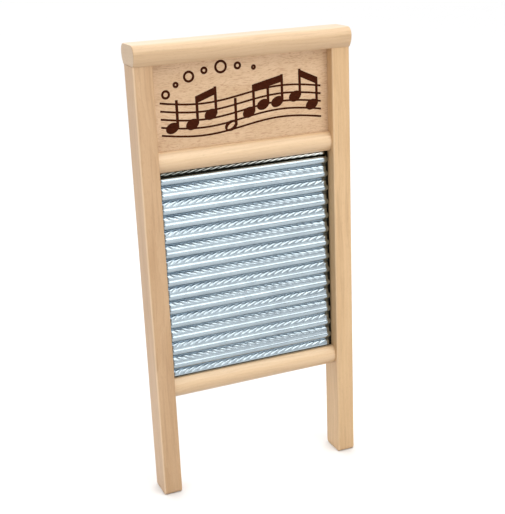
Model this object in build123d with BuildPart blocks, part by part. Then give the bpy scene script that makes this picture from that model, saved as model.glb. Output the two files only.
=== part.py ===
"""Pail-size washboard: a nailed wooden frame round a header panel and a corrugated metal rubbing sheet.

Frame of the model: X to the right, Y to the back, Z up, origin on the floor midway between the feet.
The rubbing side faces -Y. All sizes are in millimetres.
"""
import os
from math import cos, pi, radians, sin

from build123d import *

# --- Driving dimensions ---------------------------------------------------------------------------
board_width = 219.0
board_height = 457.2
opening_width = 180.9           # clear width between the two stiles

stile_depth = 28.6              # front to back
stile_edge_radius = 1.6
foot_radius = 3.5               # front and back corners of each foot

top_rail_height = 19.5
top_rail_half_depth = 19.75     # at the widest part of the bulb
top_rail_half_base = 14.9       # flat underside, just proud of the stiles
top_rail_crown_radius = 8.0
end_edge_radius = 0.8

cross_rail_height = 19.5
cross_rail_half_depth = 11.0
cross_rail_half_flat = 5.0      # flat strips on its top and bottom
cross_rail_edge_radius = 1.6
middle_rail_z = 335.4           # underside
bottom_rail_z = 103.7           # underside

panel_thickness = 6.35
panel_in_stile = 4.75           # how far the panel enters each stile
panel_in_top_rail = 5.5
panel_in_middle_rail = 5.0

sheet_thickness = 0.5
sheet_front = 1.0               # front of the flat margins, ahead of the middle plane
sheet_in_stile = 4.5
sheet_in_rail = 4.5
kerf_width = 1.4                # saw cut that takes the sheet's edges
end_clearance = 0.25            # past the sheet's and panel's edges, and past the tenons

ridge_pitch = 14.58             # from one smooth ridge to the next
smooth_count = 14
smooth_top_z = 326.0            # middle of the highest smooth ridge
smooth_radius = 4.2             # also its height ahead of the flat margins
fluted_rise = 6.2               # from a smooth ridge up to the fluted one that leans on it
fluted_radius = 3.1
top_bead_z = 333.5              # slim fluted ridge half hidden under the middle rail
top_bead_radius = 1.8
ridge_half_length = 86.1        # straight part, before the rounded end
crease_depth = 1.3              # open space behind the crease that two ridges share
crease_width = 1.2

tenon_thickness = 8.0
tenon_height = 14.0
tenon_length = 12.0
stub_tenon_width = 8.5
stub_tenon_height = 12.5

nail_length = 22.0
nail_radius = 0.7
nail_head_radius = 1.4
nail_head_thickness = 0.7
nail_tip_length = 2.5
nail_sink = 0.3                 # head below the wood
nail_hole_clearance = 0.05
nail_spread_x = 4.4             # between the two nails of one joint
nail_spread_z = 6.0

engraving_depth = 0.4
stave_half_length = 83.0
stave_spacing = 7.6
stave_line = 1.9
stave_swell = 4.5               # rise and fall of the wavy stave
stave_drop = 10.5               # its middle, below the middle of the panel's face
stave_points = 9
note_head = (6.8, 5.0)          # half length and half height
note_hollow = (4.6, 1.9)
note_tilt = 24.0
note_hollow_tilt = 36.0
note_stem = 2.8
note_stem_length = 26.0
note_beam = 7.0
bubble_line = 2.3
bubble_radii = (4.4, 3.0, 5.6, 3.6, 6.4, 3.8, 2.6)
bubble_arch = (70.0, 42.0)      # half width and height of the arch they rise along
bubble_arch_centre = (-16.0, -9.0)
bubble_arch_ends = (150.0, 66.0)

# --- Sizes that follow ------------------------------------------------------------------------------
stile_face = (board_width - opening_width) / 2
stile_centre = (board_width + opening_width) / 4
shoulder_z = board_height - top_rail_height
middle_rail_top = middle_rail_z + cross_rail_height
bottom_rail_top = bottom_rail_z + cross_rail_height
stile_back = stile_depth / 2

panel_width = opening_width + 2 * panel_in_stile
panel_bottom = middle_rail_top - panel_in_middle_rail
panel_top = shoulder_z + panel_in_top_rail
panel_face_centre = (middle_rail_top + shoulder_z) / 2

sheet_width = opening_width + 2 * sheet_in_stile
sheet_bottom = bottom_rail_top - sheet_in_rail
sheet_top = middle_rail_z + sheet_in_rail
kerf_centre = kerf_width / 2 - sheet_front     # its front wall carries the sheet

stub_tenon_x = opening_width / 2 + panel_in_stile + end_clearance + 0.5 + stub_tenon_width / 2
tenon_nail_x = opening_width / 2 + tenon_length / 2

LEFT, RIGHT = -1, 1
MIN_Z = (Align.CENTER, Align.CENTER, Align.MIN)
MAX_Z = (Align.CENTER, Align.CENTER, Align.MAX)


def nail_places(side, centre_x, centre_z):
    """Middles of the two staggered nails that pin one joint, as (x, z)."""
    return [
        (side * (centre_x + step * nail_spread_x / 2), centre_z + step * nail_spread_z / 2)
        for step in (-1, 1)
    ]


def back_planes(places, back_y):
    """Planes on the back of the board, facing +Y, one at each (x, z)."""
    return [Plane(origin=(x, back_y, z), x_dir=(1, 0, 0), z_dir=(0, 1, 0)) for x, z in places]


top_nail_z = shoulder_z + stub_tenon_height / 2
joint_nails = {
    "top": (stub_tenon_x, top_nail_z),
    "middle": (tenon_nail_x, middle_rail_z + cross_rail_height / 2),
    "bottom": (tenon_nail_x, bottom_rail_z + cross_rail_height / 2),
}
top_nail_back = 17.2            # the rail's curved back, at the lower nails
nail_backs = {"top": top_nail_back, "middle": stile_back, "bottom": stile_back}


def cut_nail_holes(side, joint):
    """Counterbored pilot holes from the back, in whichever wood is being built."""
    places = nail_places(side, *joint_nails[joint])
    with Locations(*back_planes(places, nail_backs[joint])):
        CounterBoreHole(
            radius=nail_radius + nail_hole_clearance,
            counter_bore_radius=nail_head_radius + nail_hole_clearance,
            counter_bore_depth=nail_sink + nail_head_thickness,
            depth=nail_sink + nail_length + end_clearance,
        )


# --- Stiles -----------------------------------------------------------------------------------------
def make_stile(side):
    """Upright with a foot, a groove for the panel, a kerf for the sheet, two mortises and a stub tenon."""
    inner_x = side * opening_width / 2
    outer_x = side * board_width / 2
    with BuildPart() as stile:
        with BuildSketch(Plane.YZ.offset(min(inner_x, outer_x))) as side_view:
            with Locations((0, shoulder_z / 2)):
                Rectangle(stile_depth, shoulder_z)
            fillet(side_view.vertices().group_by(Axis.Y)[0], foot_radius)
        extrude(amount=stile_face)
        long_edges = stile.faces().filter_by(Axis.X).edges()
        fillet(long_edges.filter_by_position(Axis.Z, 0, shoulder_z - 1), stile_edge_radius)

        with Locations((side * stub_tenon_x, 0, shoulder_z)):
            Box(stub_tenon_width, tenon_thickness, stub_tenon_height, align=MIN_Z)

        groove_depth = panel_in_stile + end_clearance
        with Locations((inner_x + side * groove_depth / 2, 0, shoulder_z)):
            Box(groove_depth, panel_thickness, shoulder_z - panel_bottom, align=MAX_Z, mode=Mode.SUBTRACT)

        kerf_depth = sheet_in_stile + end_clearance
        with Locations((inner_x + side * kerf_depth / 2, kerf_centre, sheet_bottom)):
            Box(kerf_depth, kerf_width, sheet_top - sheet_bottom, align=MIN_Z, mode=Mode.SUBTRACT)

        mortise_depth = tenon_length + end_clearance
        for rail_z in (middle_rail_z, bottom_rail_z):
            with Locations((inner_x + side * mortise_depth / 2, 0, rail_z + cross_rail_height / 2)):
                Box(mortise_depth, tenon_thickness, tenon_height, mode=Mode.SUBTRACT)

        for joint in joint_nails:
            cut_nail_holes(side, joint)
    return stile.part


# --- Top rail ---------------------------------------------------------------------------------------
def make_top_rail():
    """Bulb-section grip rail, grooved underneath for the panel and mortised for both stiles."""
    widest_z = board_height - top_rail_crown_radius
    flank_rise = widest_z - shoulder_z
    flank_inset = top_rail_half_depth - top_rail_half_base
    flank_radius = (flank_inset**2 + flank_rise**2) / (2 * flank_inset)
    crown_half_flat = top_rail_half_depth - top_rail_crown_radius
    with BuildPart() as rail:
        with BuildSketch(Plane.YZ.offset(-board_width / 2)):
            with BuildLine() as half_outline:
                Line((0, shoulder_z), (top_rail_half_base, shoulder_z))
                RadiusArc((top_rail_half_base, shoulder_z), (top_rail_half_depth, widest_z), -flank_radius)
                RadiusArc((top_rail_half_depth, widest_z), (crown_half_flat, board_height),
                          -top_rail_crown_radius)
                Line((crown_half_flat, board_height), (0, board_height))
                mirror(about=Plane.YZ)
            make_face()
        extrude(amount=board_width)
        end_rims = rail.faces().filter_by(Axis.X).edges()
        fillet(end_rims, end_edge_radius)

        with Locations((0, 0, shoulder_z)):
            Box(panel_width + 2 * end_clearance, panel_thickness, panel_in_top_rail + end_clearance,
                align=MIN_Z, mode=Mode.SUBTRACT)
        for side in (LEFT, RIGHT):
            with Locations((side * stub_tenon_x, 0, shoulder_z)):
                Box(stub_tenon_width, tenon_thickness, stub_tenon_height + end_clearance,
                    align=MIN_Z, mode=Mode.SUBTRACT)
            cut_nail_holes(side, "top")
    return rail.part


# --- Middle and bottom rails ------------------------------------------------------------------------
def make_cross_rail(base_z, joint, panel_groove, kerf_z, kerf_align):
    """Round-faced rail with a tenon at each end, a kerf for the sheet and perhaps a panel groove."""
    top_z = base_z + cross_rail_height
    middle_z = base_z + cross_rail_height / 2
    with BuildPart() as rail:
        with BuildSketch(Plane.YZ.offset(-opening_width / 2)) as section:
            with BuildLine():
                Line((-cross_rail_half_flat, base_z), (cross_rail_half_flat, base_z))
                ThreePointArc((cross_rail_half_flat, base_z), (cross_rail_half_depth, middle_z),
                              (cross_rail_half_flat, top_z))
                Line((cross_rail_half_flat, top_z), (-cross_rail_half_flat, top_z))
                ThreePointArc((-cross_rail_half_flat, top_z), (-cross_rail_half_depth, middle_z),
                              (-cross_rail_half_flat, base_z))
            make_face()
            fillet(section.vertices(), cross_rail_edge_radius)
        extrude(amount=opening_width)

        with Locations((0, 0, middle_z)):
            Box(opening_width + 2 * tenon_length, tenon_thickness, tenon_height)
        with Locations((0, kerf_centre, kerf_z)):
            Box(sheet_width + 2 * end_clearance, kerf_width, sheet_in_rail,
                align=kerf_align, mode=Mode.SUBTRACT)
        if panel_groove:
            with Locations((0, 0, top_z)):
                Box(panel_width + 2 * end_clearance, panel_thickness, panel_in_middle_rail,
                    align=MAX_Z, mode=Mode.SUBTRACT)

        for side in (LEFT, RIGHT):
            cut_nail_holes(side, joint)
    return rail.part


# --- Header panel -----------------------------------------------------------------------------------
def stave_middle(u):
    """Height of the wavy stave's middle line at u, above the middle of the panel's face."""
    return stave_swell * sin(pi * u / stave_half_length) - stave_drop


def draw_stave():
    """Five parallel wavy lines."""
    step = 2 * stave_half_length / (stave_points - 1)
    stations = [-stave_half_length + step * index for index in range(stave_points)]
    for line in range(-2, 3):
        with BuildLine(mode=Mode.PRIVATE) as wave:
            Spline(*[(u, stave_middle(u) + line * stave_spacing) for u in stations])
        trace(wave.line, line_width=stave_line)


def draw_notes(starts, pitches, hollow=False):
    """One note, or several joined by a beam, standing on the stave."""
    stem_side = note_head[0] - note_stem / 2
    heads = [(u, stave_middle(u) + pitch * stave_spacing / 2) for u, pitch in zip(starts, pitches)]
    with Locations(*heads):
        Ellipse(*note_head, rotation=note_tilt)
        if hollow:
            Ellipse(*note_hollow, rotation=note_hollow_tilt, mode=Mode.SUBTRACT)

    first_top, last_top = heads[0][1] + note_stem_length, heads[-1][1] + note_stem_length
    span = heads[-1][0] - heads[0][0]
    slope = (last_top - first_top) / span if span else 0
    for u, v in heads:
        top = first_top + slope * (u - heads[0][0])
        with Locations((u + stem_side, (v + top) / 2)):
            Rectangle(note_stem, top - v)
    if span:
        first = heads[0][0] + stem_side - note_stem / 2
        last = heads[-1][0] + stem_side + note_stem / 2
        with BuildLine(mode=Mode.PRIVATE) as beam:
            Polyline((first, first_top), (last, last_top), (last, last_top - note_beam),
                     (first, first_top - note_beam), close=True)
        make_face(beam.line)


def draw_bubbles():
    """An arch of rings of different sizes over the left half of the stave."""
    start, end = bubble_arch_ends
    centre_u, centre_v = bubble_arch_centre
    for index, radius in enumerate(bubble_radii):
        angle = radians(start + (end - start) * index / (len(bubble_radii) - 1))
        place = (centre_u + bubble_arch[0] * cos(angle), centre_v + bubble_arch[1] * sin(angle))
        with Locations(place):
            Circle(radius)
            Circle(radius - bubble_line, mode=Mode.SUBTRACT)


def make_header_panel():
    """Plywood panel with a shallow burnt ornament: notes on a wavy stave under an arch of bubbles."""
    with BuildPart() as panel:
        with Locations((0, 0, panel_bottom)):
            Box(panel_width, panel_thickness, panel_top - panel_bottom, align=MIN_Z)
        front = Plane(origin=(0, -panel_thickness / 2, panel_face_centre), x_dir=(1, 0, 0), z_dir=(0, -1, 0))
        with BuildSketch(front):
            draw_stave()
            draw_notes([-72], [-2])
            draw_notes([-52, -33], [-1, 1])
            draw_notes([-13], [-3], hollow=True)
            draw_notes([6, 21, 36], [-1, 0, 0])
            draw_notes([55, 73], [1, -1])
            draw_bubbles()
        extrude(amount=-engraving_depth, mode=Mode.SUBTRACT)
    return panel.part


# --- Rubbing sheet ----------------------------------------------------------------------------------
def make_ridge_bar(radius):
    """Solid round-ended bar along X, centred on the origin, that stands for one ridge."""
    tip = ridge_half_length + radius
    with BuildPart() as bar:
        with BuildSketch():
            with BuildLine():
                Line((-tip, 0), (tip, 0))
                RadiusArc((tip, 0), (ridge_half_length, radius), -radius)
                Line((ridge_half_length, radius), (-ridge_half_length, radius))
                RadiusArc((-ridge_half_length, radius), (-tip, 0), -radius)
            make_face()
        revolve(axis=Axis.X)
    return bar.part


def make_rubbing_sheet():
    """Thin sheet pressed into smooth and fluted ridges by turns, with flat margins that enter the frame."""
    smooth_z = [smooth_top_z - ridge_pitch * index for index in range(smooth_count)]
    fluted_z = [z + fluted_rise - ridge_pitch for z in smooth_z]
    ridges = ((smooth_radius, smooth_z), (fluted_radius, fluted_z), (top_bead_radius, [top_bead_z]))
    back_y = sheet_thickness - sheet_front
    crease_rise = (fluted_rise**2 + smooth_radius**2 - fluted_radius**2) / (2 * fluted_rise)
    with BuildPart() as sheet:
        with Locations((0, back_y, (sheet_top + sheet_bottom) / 2)):
            Box(sheet_width, sheet_thickness, sheet_top - sheet_bottom,
                align=(Align.CENTER, Align.MAX, Align.CENTER))
        for radius, rows in ridges:
            with Locations(*[(0, -sheet_front, z) for z in rows]):
                add(make_ridge_bar(radius))

        with Locations((0, back_y, (sheet_top + sheet_bottom) / 2)):
            Box(sheet_width, 2 * smooth_radius, sheet_top - sheet_bottom,
                align=(Align.CENTER, Align.MIN, Align.CENTER), mode=Mode.SUBTRACT)
        for radius, rows in ridges:
            with Locations(*[(0, -sheet_front, z) for z in rows]):
                add(make_ridge_bar(radius - sheet_thickness), mode=Mode.SUBTRACT)
        with Locations(*[(0, back_y, z + crease_rise) for z in smooth_z[1:]]):
            Box(2 * ridge_half_length, crease_depth, crease_width,
                align=(Align.CENTER, Align.MAX, Align.CENTER), mode=Mode.SUBTRACT)
    return sheet.part


# --- Nails ------------------------------------------------------------------------------------------
def make_nails(side, joint):
    """The pair of flat-headed nails driven from the back through one joint."""
    head_y = nail_backs[joint] - nail_sink
    with BuildPart() as nails:
        for x, z in nail_places(side, *joint_nails[joint]):
            with BuildSketch(Plane(origin=(x, head_y, z), x_dir=(1, 0, 0), z_dir=(0, 0, 1))):
                with BuildLine():
                    Polyline((0, 0), (nail_head_radius, 0), (nail_head_radius, -nail_head_thickness),
                             (nail_radius, -nail_head_thickness),
                             (nail_radius, nail_tip_length - nail_length), (0, -nail_length), close=True)
                make_face()
            revolve(axis=Axis(origin=(x, head_y, z), direction=(0, 1, 0)))
    return nails.part


# --- Export -----------------------------------------------------------------------------------------
os.makedirs("parts", exist_ok=True)

pieces = {
    "left_stile": make_stile(LEFT),
    "right_stile": make_stile(RIGHT),
    "top_rail": make_top_rail(),
    "middle_rail": make_cross_rail(middle_rail_z, "middle", True, middle_rail_z, MIN_Z),
    "bottom_rail": make_cross_rail(bottom_rail_z, "bottom", False, bottom_rail_top, MAX_Z),
    "header_panel": make_header_panel(),
    "rubbing_sheet": make_rubbing_sheet(),
}
for joint in joint_nails:
    for side, side_name in ((LEFT, "left"), (RIGHT, "right")):
        pieces[f"{joint}_{side_name}_nails"] = make_nails(side, joint)

for name, part in pieces.items():
    part.label = name
    export_step(part, f"parts/{name}.step")
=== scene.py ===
"""Looks of the pail-size washboard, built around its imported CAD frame.

Metres, X to the right, Y to the back, Z up. The rubbing side faces -Y.
"""
import math

import bpy
import numpy as np
from mathutils import Matrix, Vector


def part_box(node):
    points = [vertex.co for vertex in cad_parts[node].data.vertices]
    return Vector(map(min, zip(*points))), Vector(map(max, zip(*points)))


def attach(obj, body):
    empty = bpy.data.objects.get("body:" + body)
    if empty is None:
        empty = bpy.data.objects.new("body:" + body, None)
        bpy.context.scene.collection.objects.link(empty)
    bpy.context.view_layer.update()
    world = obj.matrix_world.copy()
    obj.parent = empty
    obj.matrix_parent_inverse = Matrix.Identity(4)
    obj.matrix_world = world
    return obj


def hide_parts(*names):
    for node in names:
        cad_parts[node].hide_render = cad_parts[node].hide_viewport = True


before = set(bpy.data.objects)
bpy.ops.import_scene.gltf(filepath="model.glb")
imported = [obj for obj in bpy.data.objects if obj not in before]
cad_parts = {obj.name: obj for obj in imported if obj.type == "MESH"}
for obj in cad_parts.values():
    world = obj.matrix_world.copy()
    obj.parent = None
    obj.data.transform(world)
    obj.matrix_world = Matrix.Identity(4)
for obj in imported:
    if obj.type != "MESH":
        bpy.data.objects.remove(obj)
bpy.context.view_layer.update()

MM = 0.001


# --- Camera -----------------------------------------------------------------------------------------
def add_camera():
    """The main viewpoint: left of the board, well above it, slightly rolled."""
    right = Vector((0.92056, -0.38842, -0.04126))
    forward = Vector((0.35690, 0.87934, -0.31524))
    up = right.cross(forward)
    data = bpy.data.cameras.new("camera")
    data.sensor_width = 36.0
    data.lens = 73.4
    camera = bpy.data.objects.new("camera", data)
    bpy.context.scene.collection.objects.link(camera)
    turn = Matrix((right, up, -forward)).transposed().to_4x4()
    camera.matrix_world = Matrix.Translation((-0.3725, -0.9285, 0.5685)) @ turn
    bpy.context.scene.camera = camera


# --- Light and floor --------------------------------------------------------------------------------
SKY_AXIS = (0.0, 0.5, 0.866)    # middle of the bright part of the surroundings: overhead, a little behind
SKY_FADE = ((0.0, 0.36), (0.50, 0.58), (0.82, 2.0))     # cosine from that axis, light
SOFTBOXES = (                   # name, place, aim, size, power and, for some, colour
    ("overhead", (0.25, -0.60, 1.55), (0.0, 0.0, 0.25), (1.4, 0.9), 7.0),
    ("front", (0.50, -1.15, 1.15), (0.0, 0.0, 0.25), (0.9, 0.8), 6.2, (1.0, 0.985, 0.94)),
    ("low", (0.22, -1.24, 0.50), (0.22, 0.0, 0.50), (0.42, 0.60), 1.0),
    ("card", (0.95, -1.24, 0.36), (0.95, 0.0, 0.36), (1.05, 0.72), 1.1),
    ("left", (-1.5, -0.4, 0.9), (0.0, 0.0, 0.25), (0.8, 1.2), 3.1, (1.0, 0.95, 0.87)),
)


def add_area_light(name, place, aim, size, power, tint=(1.0, 1.0, 1.0)):
    """A rectangular softbox at place, facing aim."""
    data = bpy.data.lights.new(name, "AREA")
    data.shape = "RECTANGLE"
    data.size, data.size_y = size
    data.energy = power
    data.color = tint
    light = bpy.data.objects.new(name, data)
    light.location = place
    light.rotation_euler = (Vector(aim) - Vector(place)).to_track_quat("-Z", "Y").to_euler()
    bpy.context.scene.collection.objects.link(light)


def add_studio():
    """Pale surroundings that brighten overhead, with softboxes above, in front and at the left."""
    scene = bpy.context.scene
    scene.view_settings.view_transform = "Standard"
    world = bpy.data.worlds.new("studio")
    world.use_nodes = True
    tree = world.node_tree
    direction = tree.nodes.new("ShaderNodeTexCoord")
    toward = tree.nodes.new("ShaderNodeVectorMath")
    toward.operation = "DOT_PRODUCT"
    toward.inputs[1].default_value = SKY_AXIS
    fade = tree.nodes.new("ShaderNodeValToRGB")
    tree.links.new(direction.outputs["Generated"], toward.inputs[0])
    tree.links.new(toward.outputs["Value"], fade.inputs["Fac"])
    tree.links.new(fade.outputs["Color"], tree.nodes["Background"].inputs["Color"])
    tree.nodes["Background"].inputs["Strength"].default_value = 1.0
    fill_ramp(fade, [(up, (light, light, light)) for up, light in SKY_FADE])
    scene.world = world
    for light in SOFTBOXES:
        add_area_light(*light)


def add_floor(material):
    """Plain pale floor under the feet."""
    half = 8.0
    mesh = bpy.data.meshes.new("floor")
    corners = [(-half, -half, 0), (half, -half, 0), (half, half, 0), (-half, half, 0)]
    mesh.from_pydata(corners, [], [(0, 1, 2, 3)])
    mesh.materials.append(material)
    floor = bpy.data.objects.new("floor", mesh)
    bpy.context.scene.collection.objects.link(floor)


# --- Node helpers -----------------------------------------------------------------------------------
def new_material(name):
    """A node material with its principled shader, as (material, add, link, shader)."""
    material = bpy.data.materials.new(name)
    material.use_nodes = True
    tree = material.node_tree
    shader = tree.nodes["Principled BSDF"]

    def add(kind, **settings):
        """Adds a node; settings are its properties or, with _ for spaces, its inputs."""
        node = tree.nodes.new(kind)
        for key, value in settings.items():
            if hasattr(node, key):
                setattr(node, key, value)
            else:
                node.inputs[key.replace("_", " ")].default_value = value
        return node

    return material, add, tree.links.new, shader


def math_node(add, link, operation, first, second=None, third=None, clamp=False):
    """A Math node whose inputs are sockets or numbers; returns its output."""
    node = add("ShaderNodeMath", operation=operation, use_clamp=clamp)
    for index, value in enumerate((first, second, third)):
        if value is None:
            continue
        if isinstance(value, (int, float)):
            node.inputs[index].default_value = value
        else:
            link(value, node.inputs[index])
    return node.outputs[0]


def map_range(add, link, value, start, end, low=0.0, high=1.0):
    """A value carried from start...end to low...high and held there; returns its output."""
    node = add("ShaderNodeMapRange", From_Min=start, From_Max=end, To_Min=low, To_Max=high)
    link(value, node.inputs["Value"])
    return node.outputs["Result"]


def split(add, link, vector):
    """The outputs X, Y and Z of a vector."""
    node = add("ShaderNodeSeparateXYZ")
    link(vector, node.inputs[0])
    return node.outputs


def fill_ramp(node, stops):
    """Gives a colour ramp node its (position, colour) stops."""
    elements = node.color_ramp.elements
    while len(elements) < len(stops):
        elements.new(0.5)
    for element, (position, colour) in zip(elements, stops):
        element.position = position
        element.color = (*colour, 1.0)


def ramp(add, link, factor, stops):
    """A colour ramp through (position, colour) stops; returns its colour output."""
    node = add("ShaderNodeValToRGB")
    fill_ramp(node, stops)
    link(factor, node.inputs["Fac"])
    return node.outputs["Color"]


def mix_colour(add, link, factor, first, second):
    """A Mix node on colours; the factor is a socket, and the colours are sockets or linear colours."""
    node = add("ShaderNodeMix", data_type="RGBA")
    for socket, value in ((0, factor), (6, first), (7, second)):
        if isinstance(value, tuple):
            node.inputs[socket].default_value = (*value, 1.0)
        else:
            link(value, node.inputs[socket])
    return node.outputs[2]


def noise(add, link, vector, stretch, scale, detail=3.0, roughness=0.55):
    """Noise on vector after it is stretched by the (x, y, z) factors; returns its factor."""
    mapping = add("ShaderNodeMapping")
    mapping.inputs["Scale"].default_value = stretch
    link(vector, mapping.inputs["Vector"])
    texture = add("ShaderNodeTexNoise", Scale=scale, Detail=detail, Roughness=roughness)
    link(mapping.outputs["Vector"], texture.inputs["Vector"])
    return texture.outputs["Fac"]


def add_relief(add, link, shader, height, strength, distance):
    """Fine bumps on the shader's normal."""
    bump = add("ShaderNodeBump", Strength=strength, Distance=distance)
    link(height, bump.inputs["Height"])
    link(bump.outputs["Normal"], shader.inputs["Normal"])


def srgb(red, green, blue):
    """A display colour from 0 to 255 as a linear colour."""
    def channel(value):
        value /= 255
        return value / 12.92 if value <= 0.04045 else ((value + 0.055) / 1.055) ** 2.4
    return channel(red), channel(green), channel(blue)


def darker(colour, share):
    """A linear colour with only a share of its light."""
    return tuple(channel * share for channel in colour)


# --- Wood -------------------------------------------------------------------------------------------
ALONG_Z = (0.0, 0.0, 0.0)
ALONG_X = (0.0, math.pi / 2, 0.0)
UNDERSIDE_SHADE_NORMAL = (0.35, -0.65)       # upward part of the normal where a rail's painted underside shade starts and is full
# share and colour of the painted shade on the rails' undersides
UNDERSIDE_SHADE_SHARE = 0.45
UNDERSIDE_SHADE_COLOUR = srgb(146, 112, 78)
EDGE_HIGHLIGHT_RANGE = (0.05, 0.40)             # X times Y of the normal where a stile's painted edge highlight starts and is full
# colour of that painted highlight
EDGE_HIGHLIGHT_COLOUR = srgb(250, 226, 196)
ENGRAVING_DEPTH = 0.4 * MM


def grain_space(add, link, turn, offset):
    """The coordinate node, and object coordinates turned so that the grain runs along Z.

    They are shifted by offset, so that each board differs.
    """
    coordinates = add("ShaderNodeTexCoord")
    mapping = add("ShaderNodeMapping")
    mapping.inputs["Location"].default_value = offset
    mapping.inputs["Rotation"].default_value = turn
    link(coordinates.outputs["Object"], mapping.inputs["Vector"])
    return coordinates, mapping.outputs["Vector"]


def bend_grain(add, link, grain, scale, reach):
    """Grain coordinates moved about by soft noise, so that no fibre runs dead straight."""
    drift = add("ShaderNodeTexNoise", Scale=scale, Detail=2.0)
    link(grain, drift.inputs["Vector"])
    bend = add("ShaderNodeVectorMath", operation="SCALE")
    bend.inputs["Scale"].default_value = reach
    link(drift.outputs["Color"], bend.inputs[0])
    bent = add("ShaderNodeVectorMath", operation="ADD")
    link(grain, bent.inputs[0])
    link(bend.outputs[0], bent.inputs[1])
    return bent.outputs[0]


def add_marks(add, link, wood, pattern, start, full, share, colour):
    """Wood with marks of a colour, at most share strong, where the pattern rises from start to full."""
    mask = ramp(add, link, pattern, [(start, (0, 0, 0)), (full, (1, 1, 1))])
    return mix_colour(add, link, math_node(add, link, "MULTIPLY", mask, share), wood, colour)


def make_frame_wood(name, turn, offset, tone, edge_highlight_share):
    """Pale close-grained hardwood: faint rings, fibres, streaks, flecks and slow changes of tone.

    The rails have painted shade on their undersides, and the stiles have a painted highlight on two opposite
    edges, as strong as the last argument gives.
    """
    material, add, link, shader = new_material(name)
    coordinates, grain = grain_space(add, link, turn, offset)
    is_rail = turn == ALONG_X

    bent = bend_grain(add, link, grain, 7.0, 0.012)
    rings = add("ShaderNodeTexWave", wave_type="RINGS", rings_direction="Z", wave_profile="SAW",
                Scale=95.0, Distortion=1.6, Detail=2.0, Detail_Scale=1.5)
    link(bent, rings.inputs["Vector"])
    fibres = noise(add, link, bent, (1.0, 1.0, 0.018), 900.0, detail=4.0)
    flecks = noise(add, link, bent, (1.0, 1.0, 0.10), 2300.0, detail=1.0)
    streaks = noise(add, link, bent, (1.0, 1.0, 0.022), 420.0, detail=3.0, roughness=0.6)
    clouds = noise(add, link, grain, (1.0, 1.0, 0.12), 55.0, detail=2.0)

    light, middle, dark = tone
    ring_share = math_node(add, link, "MULTIPLY", rings.outputs["Fac"], 0.12)
    fibre_share = math_node(add, link, "MULTIPLY_ADD", fibres, 0.22, ring_share)
    figure = math_node(add, link, "MULTIPLY_ADD", clouds, 0.66, fibre_share)
    wood = ramp(add, link, figure, [(0.30, light), (0.55, middle), (0.82, dark)])
    wood = add_marks(add, link, wood, streaks, 0.50, 0.68, 0.34, darker(dark, 0.80))
    wood = add_marks(add, link, wood, flecks, 0.60, 0.70, 0.20, darker(dark, 0.62))

    facing = split(add, link, coordinates.outputs["Normal"])
    end_grain = math_node(add, link, "ABSOLUTE", facing["X" if is_rail else "Z"])
    end_grain = math_node(add, link, "MULTIPLY_ADD", end_grain, 3.0, -1.8, clamp=True)
    end_share = math_node(add, link, "MULTIPLY", end_grain, 0.35)
    wood = mix_colour(add, link, end_share, wood, darker(dark, 0.66))
    # painted shade: rails darker on their downward-facing sides
    if is_rail:
        under = map_range(add, link, facing["Z"], *UNDERSIDE_SHADE_NORMAL, high=UNDERSIDE_SHADE_SHARE)
        along_board = math_node(add, link, "SUBTRACT", 1.0, end_grain)
        under_shade_share = math_node(add, link, "MULTIPLY", under, along_board)
        wood = mix_colour(add, link, under_shade_share, wood, UNDERSIDE_SHADE_COLOUR)
    else:
        # painted highlight on two opposite edges of a stile
        corner = math_node(add, link, "MULTIPLY", facing["X"], facing["Y"])
        edge = map_range(add, link, corner, *EDGE_HIGHLIGHT_RANGE, high=edge_highlight_share)
        wood = mix_colour(add, link, edge, wood, EDGE_HIGHLIGHT_COLOUR)
    link(wood, shader.inputs["Base Color"])

    gloss = math_node(add, link, "MULTIPLY_ADD", fibres, 0.20, 0.30)
    link(gloss, shader.inputs["Roughness"])
    shader.inputs["Specular IOR Level"].default_value = 0.5 if is_rail else 0.3
    shader.inputs["Coat Weight"].default_value = 0.45 if is_rail else 0.08
    shader.inputs["Coat Roughness"].default_value = 0.34
    relief = math_node(add, link, "MULTIPLY_ADD", flecks, -0.5, fibres)
    add_relief(add, link, shader, relief, 0.14, 0.00025)
    return material


def make_panel_wood(front_y):
    """Pinkish plywood face with short dark pores, and a burnt brown colour in the engraving."""
    material, add, link, shader = new_material("panel_wood")
    coordinates, grain = grain_space(add, link, ALONG_X, (0.0, 0.31, 0.17))

    bent = bend_grain(add, link, grain, 18.0, 0.014)
    pores = noise(add, link, bent, (1.0, 1.0, 0.12), 1300.0, detail=2.0)
    fine = noise(add, link, bent, (1.0, 1.0, 0.08), 2900.0, detail=1.0)
    clouds = noise(add, link, grain, (1.0, 1.0, 0.3), 60.0, detail=3.0)
    wood = ramp(add, link, clouds, [(0.3, srgb(212, 181, 147)), (0.7, srgb(198, 165, 129))])
    wood = add_marks(add, link, wood, pores, 0.52, 0.66, 0.55, srgb(164, 120, 88))
    wood = add_marks(add, link, wood, fine, 0.56, 0.68, 0.34, srgb(150, 104, 74))

    place = split(add, link, coordinates.outputs["Object"])
    sunk = math_node(add, link, "GREATER_THAN", place["Y"], front_y + 0.15 * ENGRAVING_DEPTH)
    shallow = math_node(add, link, "LESS_THAN", place["Y"], front_y + 1.15 * ENGRAVING_DEPTH)
    burnt = math_node(add, link, "MULTIPLY", sunk, shallow)
    char = ramp(add, link, fine, [(0.35, srgb(50, 18, 6)), (0.70, srgb(70, 30, 12))])
    colour = mix_colour(add, link, burnt, wood, char)
    link(colour, shader.inputs["Base Color"])
    sheen = math_node(add, link, "MULTIPLY_ADD", burnt, -0.42, 0.45)
    link(sheen, shader.inputs["Specular IOR Level"])
    rough = math_node(add, link, "MULTIPLY_ADD", pores, 0.25, 0.45)
    link(rough, shader.inputs["Roughness"])
    relief = math_node(add, link, "MULTIPLY", pores, -1.0)
    add_relief(add, link, shader, relief, 0.25, 0.0003)
    return material


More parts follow.
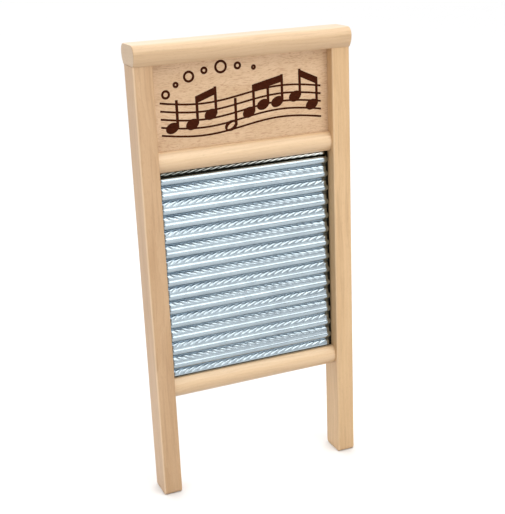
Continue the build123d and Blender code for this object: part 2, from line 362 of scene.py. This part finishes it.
# --- Metal ------------------------------------------------------------------------------------------
ZINC = ((0.325, 0.384, 0.428), (0.392, 0.46, 0.505))    # darkest and lightest spangle
VALLEY_SHADE_DEPTHS = (-2.7 * MM, -1.9 * MM)    # Y at which the front starts to get painted valley shade and has it fully
VALLEY_SHADE_SHARE = (0.66, 0.42)               # share of painted shade in the valleys at the left end, and from the middle on
VALLEY_SHADE_SHARE_X = (-84.0 * MM, -25.0 * MM)
VALLEY_SHADE_COLOUR = (0.010, 0.050, 0.095)
PAINTED_SHADOW_COLOUR = (0.012, 0.012, 0.009)
PAINTED_SHADOW_FROM_Z = (328.2 * MM, 330.0 * MM)     # height at which painted black shadow starts in the valleys under the middle rail and is full
PAINTED_SHADOW_FROM_X = (83.0 * MM, 89.0 * MM)       # the same sideways, for painted shadow at the right ends of the ridges
TOP_BEAD_SHADE_EXTRA = 0.5 * MM               # how much further forward the painted shade reaches on the top bead
TOP_BEAD_X = (-80 * MM, 80 * MM)        # between these its painted light changes from the first colour to the second
# painted light on the top bead's metal: dark painted shade at the left end, bright painted reflection at the
# right
TOP_BEAD_PAINTED_LIGHT = ((0.36, 0.38, 0.35), (0.86, 0.88, 0.84))


def make_galvanised():
    """Bright zinc-coated sheet with faint spangle, a slightly brushed gloss, painted shade in the valleys,
    painted black shadow under the middle rail and at the right ends of the ridges, and painted light on the
    top bead.
    """
    material, add, link, shader = new_material("galvanised")
    coordinates = add("ShaderNodeTexCoord")
    spangle = add("ShaderNodeTexVoronoi", Scale=130.0)
    link(coordinates.outputs["Object"], spangle.inputs["Vector"])
    crystal = add("ShaderNodeSeparateColor")
    link(spangle.outputs["Color"], crystal.inputs[0])
    brushed = noise(add, link, coordinates.outputs["Object"], (0.05, 1.0, 1.0), 1600.0, detail=3.0)
    stain = noise(add, link, coordinates.outputs["Object"], (1.0, 1.0, 1.0), 24.0, detail=4.0)
    shade = math_node(add, link, "MULTIPLY_ADD", crystal.outputs[0], 0.30,
                      math_node(add, link, "MULTIPLY", stain, 0.70))

    place = split(add, link, coordinates.outputs["Object"])
    facing = split(add, link, coordinates.outputs["Normal"])
    # painted shadow: valleys turned black under the middle rail and beyond the right ends of the ridges
    rail_shadow_zone = map_range(add, link, place["Z"], *PAINTED_SHADOW_FROM_Z)
    right_end_shadow_zone = map_range(add, link, place["X"], *PAINTED_SHADOW_FROM_X)
    painted_shadow = math_node(add, link, "MAXIMUM", rail_shadow_zone, right_end_shadow_zone)
    # painted light on the top bead, dark at the left and bright at the right
    along_bead = map_range(add, link, place["X"], *TOP_BEAD_X)
    bead = mix_colour(add, link, along_bead, *TOP_BEAD_PAINTED_LIGHT)
    zinc = ramp(add, link, shade, [(0.25, ZINC[0]), (0.75, ZINC[1])])
    metal = mix_colour(add, link, rail_shadow_zone, zinc, bead)

    # painted shade: the front's deep valleys darkened, more at the left end
    front = math_node(add, link, "MULTIPLY", facing["Y"], -4.0, clamp=True)
    depth = math_node(add, link, "MULTIPLY_ADD", rail_shadow_zone, TOP_BEAD_SHADE_EXTRA, place["Y"])
    valley_shade = math_node(add, link, "MULTIPLY", front, map_range(add, link, depth, *VALLEY_SHADE_DEPTHS))
    share = map_range(add, link, place["X"], *VALLEY_SHADE_SHARE_X, *VALLEY_SHADE_SHARE)
    share = math_node(add, link, "MAXIMUM", painted_shadow, share)
    painted_shade_colour = mix_colour(add, link, painted_shadow, VALLEY_SHADE_COLOUR, PAINTED_SHADOW_COLOUR)
    colour = mix_colour(add, link, math_node(add, link, "MULTIPLY", valley_shade, share), metal, painted_shade_colour)
    link(colour, shader.inputs["Base Color"])
    rough = math_node(add, link, "MULTIPLY_ADD", brushed, 0.16,
                      math_node(add, link, "MULTIPLY_ADD", stain, 0.10, 0.10))
    link(rough, shader.inputs["Roughness"])
    shader.inputs["Metallic"].default_value = 1.0
    add_relief(add, link, shader, brushed, 0.08, 0.0002)
    return material


def make_nail_steel():
    """Dull bright-drawn wire nail."""
    material, add, link, shader = new_material("nail_steel")
    coordinates = add("ShaderNodeTexCoord")
    stain = noise(add, link, coordinates.outputs["Object"], (1.0, 1.0, 1.0), 900.0, detail=4.0)
    colour = ramp(add, link, stain, [(0.35, (0.30, 0.29, 0.27)), (0.7, (0.58, 0.57, 0.55))])
    link(colour, shader.inputs["Base Color"])
    rough = math_node(add, link, "MULTIPLY_ADD", stain, 0.3, 0.25)
    link(rough, shader.inputs["Roughness"])
    shader.inputs["Metallic"].default_value = 1.0
    return material


def make_floor_white():
    """Plain pale studio floor."""
    material, _, _, shader = new_material("floor_white")
    shader.inputs["Base Color"].default_value = (0.80, 0.80, 0.80, 1.0)
    shader.inputs["Roughness"].default_value = 0.9
    return material


# --- Rubbing sheet ----------------------------------------------------------------------------------
RIDGE_PITCH = 14.58 * MM        # from one smooth ridge to the next
SMOOTH_COUNT = 14
SMOOTH_TOP_Z = 326.0 * MM
SMOOTH_RADIUS = 4.2 * MM
FLUTED_RISE = 6.4 * MM          # from a smooth ridge up to the fluted shelf that leans on it
FLUTED_RADIUS = 3.0 * MM        # half the shelf's width
FLUTED_HEIGHT = 2.5 * MM        # at its middle
FLUTED_SLANT = 0.22             # how fast its face leans back towards the top
FLUTED_FLAT = 0.1               # share of the radius over which it isn't rounded above its middle
FLUTED_END = 0.98               # share of the rounding after which the side falls straight and steep
TOP_BEAD_Z = 333.2 * MM         # slim fluted ridge half hidden under the middle rail
TOP_BEAD_RADIUS = 2.2 * MM
RIDGES_FROM = -86.1 * MM        # straight part of every ridge, between its round ends
RIDGES_TO = 83.6 * MM
RIGHT_STRETCH = 1.6             # the right-hand ends are longer than half the ridge's width
STEEPEST = math.radians(74)     # slope of a ridge's sides where they meet the valleys
VALLEY_BLEND = 0.9 * MM
SHEET_THICKNESS = 0.5 * MM
STRAND_PITCH = 7.85 * MM        # along a fluted ridge
STRAND_LEAN = 1.6               # sideways run of a strand for each unit up the ridge
TOP_BEAD_LEAN = 2.6             # the same on the top bead
STRAND_START = -82.2 * MM       # a crease between two strands, on the crest
STRAND_COLUMNS = (0.0, 0.06, 0.16, 0.31, 0.5, 0.69, 0.84, 0.94)     # places across one strand
CREASE_DEPTH = 0.75 * MM
CREASE_FADE = (10 * MM, 60 * MM)    # X at which the creases start to be shallower and are so
CREASE_FADE_SHARE = 0.4
CREASE_ENDS = 2.6 * MM          # past the straight part of a ridge, where its creases have run out
CREASE_TOP = (0.8, 1.05)        # height on a ridge, in radii, over which they run out upwards
CREASE_FOOT = (-0.5, 0.3)       # height below which there are none, and from which they are full
TOP_BEAD_CREASE_FOOT = (-1.1, -0.7)
LEAN_FADE = (1 * MM, 14 * MM)   # distance from the ends at which columns start to follow the strands and do
COLUMN_GAP = 0.2 * MM           # least distance from those columns to the ones round the ends
END_COLUMNS = 9                 # round each end of the ridges
END_REACH = 1.02                # how far they go past the straight part, in radii of a smooth ridge
ROW_STEP = 0.85 * MM            # along the sheet's surface
SURFACE_SAMPLES = 12001         # for measuring along it


def smoothstep(value, low, high):
    """0 below low, 1 above high, smooth between."""
    t = np.clip((value - low) / (high - low), 0, 1)
    return t * t * (3 - 2 * t)


def smooth_max(first, second, blend):
    """The larger of two heights, with the corner between them rounded."""
    near = np.clip(blend - np.abs(first - second), 0, None) / blend
    return np.maximum(first, second) + near * near * blend / 4


def smooth_ridges():
    """Middle z of every smooth ridge from the top."""
    return [SMOOTH_TOP_Z - RIDGE_PITCH * index for index in range(SMOOTH_COUNT)]


def fluted_ridges():
    """Every fluted ridge from the top, as (middle z, radius, sideways run of its strands)."""
    shelves = [(middle + FLUTED_RISE - RIDGE_PITCH, FLUTED_RADIUS, STRAND_LEAN * (1 if index % 2 else -1))
               for index, middle in enumerate(smooth_ridges())]
    return [(TOP_BEAD_Z, TOP_BEAD_RADIUS, TOP_BEAD_LEAN)] + shelves


def ridge_height(distance, radius):
    """Height of a ridge at a distance from its middle line: a round crest, then straight steep sides."""
    turn = radius * math.sin(STEEPEST)
    crest = np.sqrt(np.maximum(radius**2 - np.minimum(distance, turn) ** 2, 0))
    return crest - np.maximum(distance - turn, 0) * math.tan(STEEPEST)


def shelf_height(past, above):
    """Height of a fluted shelf: leaning slightly back, rounded off towards its top edge and its ends."""
    flat = FLUTED_FLAT * FLUTED_RADIUS
    rounded = FLUTED_RADIUS - flat
    reach = np.hypot(past, np.maximum(above - flat, 0)) / rounded
    crest = FLUTED_HEIGHT - FLUTED_SLANT * np.clip(above, -FLUTED_RADIUS, FLUTED_RADIUS)
    beyond = np.maximum(reach - FLUTED_END, 0) * rounded + np.maximum(-above - FLUTED_RADIUS, 0)
    return crest * np.sqrt(1 - np.minimum(reach, FLUTED_END) ** 2) - beyond * math.tan(STEEPEST)


def past_end(x):
    """How far x is beyond the straight part of the ridges, measured on unstretched ends."""
    return np.maximum(np.maximum(RIDGES_FROM - x, 0), (x - RIDGES_TO) / RIGHT_STRETCH)


def pressed_height(x, z):
    """How far the pressed sheet stands in front of its flat margins at x, z."""
    past = past_end(x)
    height = np.maximum(ridge_height(np.hypot(past, z - TOP_BEAD_Z), TOP_BEAD_RADIUS), 0)
    for middle in smooth_ridges():
        height = smooth_max(height, ridge_height(np.hypot(past, z - middle), SMOOTH_RADIUS), VALLEY_BLEND)
    for middle, radius, _ in fluted_ridges():
        if radius == FLUTED_RADIUS:
            height = smooth_max(height, shelf_height(past, z - middle), VALLEY_BLEND)
    return height


def crease_height(x, z):
    """Dips between the twisted strands of the fluted ridges, shallower towards the right."""
    dips = np.zeros_like(x)
    inside = 1 - smoothstep(past_end(x), 0, CREASE_ENDS)
    depth = CREASE_DEPTH * (1 - CREASE_FADE_SHARE * smoothstep(x, *CREASE_FADE))
    for middle, radius, run in fluted_ridges():
        above = z - middle
        foot = TOP_BEAD_CREASE_FOOT if radius == TOP_BEAD_RADIUS else CREASE_FOOT
        band = smoothstep(above / radius, *foot) * (1 - smoothstep(above / radius, *CREASE_TOP))
        phase = math.pi * (x - run * above - STRAND_START) / STRAND_PITCH
        dips += band * inside * depth * (np.abs(np.sin(phase)) - 1)
    return dips


def sheet_rows(low, high):
    """Z of every row of the sheet's mesh, evenly spaced along its pressed surface."""
    z = np.linspace(low, high, SURFACE_SAMPLES)
    height = pressed_height(np.zeros_like(z), z)
    travel = np.concatenate([[0], np.cumsum(np.hypot(np.diff(z), np.diff(height)))])
    steps = 2 * round(travel[-1] / ROW_STEP / 2)
    return np.interp(np.linspace(0, travel[-1], steps + 1), travel, z)


def sheet_columns(half_width):
    """X of every column: closest together at the creases and round the ends of the ridges."""
    numbers = range(-2, round((RIDGES_TO - RIDGES_FROM) / STRAND_PITCH) + 2)
    middle = [STRAND_START + (number + part) * STRAND_PITCH for number in numbers for part in STRAND_COLUMNS]
    middle = [x for x in middle if RIDGES_FROM + COLUMN_GAP < x < RIDGES_TO - COLUMN_GAP]
    turn = END_REACH * SMOOTH_RADIUS * np.sin(np.linspace(0, math.pi / 2, END_COLUMNS))
    left, right = (RIDGES_FROM - turn)[::-1], RIDGES_TO + RIGHT_STRETCH * turn
    columns = [-half_width, *left, *middle, *right, (right[-1] + half_width) / 2, half_width]
    if len(columns) % 2 == 0:
        columns.insert(-1, (columns[-2] + half_width) / 2)
    return np.array(columns)


def lean_columns(x, z):
    """X of the sheet's grid once its columns follow the strands, up one way and down the other."""
    knots = []
    for middle, radius, run in fluted_ridges():
        for end in (1, -1):
            knots.append((middle + end * radius, end * run * radius))
    heights, runs = zip(*sorted(knots))
    from_end = np.minimum(x - RIDGES_FROM, RIDGES_TO - x)
    return x + np.interp(z, heights, runs) * smoothstep(from_end, *LEAN_FADE)


def surface_normals(points):
    """Unit normals of a grid of points, facing -Y."""
    along = np.gradient(points, axis=1)
    across = np.gradient(points, axis=0)
    normal = np.cross(along, across)
    normal /= np.linalg.norm(normal, axis=2, keepdims=True)
    return normal


def grid_faces(index):
    """Quads over a grid of vertex numbers."""
    corners = [index[:-1, :-1], index[:-1, 1:], index[1:, 1:], index[1:, :-1]]
    return np.stack(corners, axis=-1).reshape(-1, 4).tolist()


def grid_rim(index):
    """Vertex numbers round the edge of a grid."""
    return np.concatenate([index[0, :-1], index[:-1, -1], index[-1, :0:-1], index[:0:-1, 0]]).tolist()


def make_rubbing_sheet(material):
    """The whole pressed sheet as one closed thin shell, with its ridges, their round ends and strands."""
    low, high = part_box("rubbing_sheet")
    x, z = np.meshgrid(sheet_columns(high.x), sheet_rows(low.z, high.z))
    x = lean_columns(x, z)
    margin_y = high.y - SHEET_THICKNESS
    plain = np.stack([x, margin_y - pressed_height(x, z), z], axis=2)
    front = plain + surface_normals(plain) * crease_height(x, z)[:, :, None]
    back = front - surface_normals(front) * SHEET_THICKNESS
    edge = np.ones(x.shape, bool)
    edge[1:-1, 1:-1] = False
    back[edge] = front[edge] + np.array([0, SHEET_THICKNESS, 0])
    back = back[::2, ::2]

    front_index = np.arange(x.size).reshape(x.shape)
    back_index = np.arange(back[:, :, 0].size).reshape(back.shape[:2]) + x.size
    faces = grid_faces(front_index) + grid_faces(back_index[:, ::-1])
    front_rim, back_rim = grid_rim(front_index), grid_rim(back_index)
    for step, near in enumerate(back_rim):
        first, middle, last = (front_rim[(2 * step + k) % len(front_rim)] for k in range(3))
        faces.append((first, near, back_rim[(step + 1) % len(back_rim)], last, middle))

    mesh = bpy.data.meshes.new("pressed_sheet")
    vertices = np.concatenate([front.reshape(-1, 3), back.reshape(-1, 3)])
    mesh.from_pydata(vertices.tolist(), [], faces)
    mesh.polygons.foreach_set("use_smooth", [True] * len(mesh.polygons))
    mesh.materials.append(material)
    mesh.update()
    sheet = bpy.data.objects.new("pressed_sheet", mesh)
    bpy.context.scene.collection.objects.link(sheet)
    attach(sheet, "root")
    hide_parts("rubbing_sheet")


# --- Finish of the CAD pieces -----------------------------------------------------------------------
PALE = (srgb(212, 179, 138), srgb(202, 167, 125), srgb(186, 148, 107))
PINK = (srgb(198, 164, 128), srgb(189, 154, 117), srgb(175, 137, 99))
WARM = (srgb(212, 181, 143), srgb(203, 170, 130), srgb(187, 151, 109))
# paler copy of the warm rail wood: painted light on the middle and bottom rails
LIT_WARM_COPY = (srgb(225, 195, 157), srgb(217, 185, 145), srgb(202, 167, 126))


def paint(node, material):
    """Puts one material on a CAD node."""
    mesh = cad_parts[node].data
    mesh.materials.clear()
    mesh.materials.append(material)


def finish_cad_pieces():
    """Wood on the frame, plywood on the panel and steel on the nails."""
    boards = {                  # direction of the grain, its offset, tone and the strength of the stiles' painted edge highlight
        "left_stile": (ALONG_Z, (0.11, 0.062, 0.0), PINK, 0.4),
        "right_stile": (ALONG_Z, (-0.17, 0.05, 0.4), PALE, 0.15),
        "top_rail": (ALONG_X, (0.41, 0.07, 0.2), WARM, 0.0),
        "middle_rail": (ALONG_X, (0.31, 0.04, 0.7), LIT_WARM_COPY, 0.0),
        "bottom_rail": (ALONG_X, (0.14, 0.06, 1.3), LIT_WARM_COPY, 0.0),
    }
    for node, looks in boards.items():
        paint(node, make_frame_wood(node + "_wood", *looks))
    panel_low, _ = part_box("header_panel")
    paint("header_panel", make_panel_wood(panel_low.y))
    steel = make_nail_steel()
    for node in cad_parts:
        if node.endswith("_nails"):
            paint(node, steel)


add_camera()
add_studio()
add_floor(make_floor_white())
finish_cad_pieces()
make_rubbing_sheet(make_galvanised())
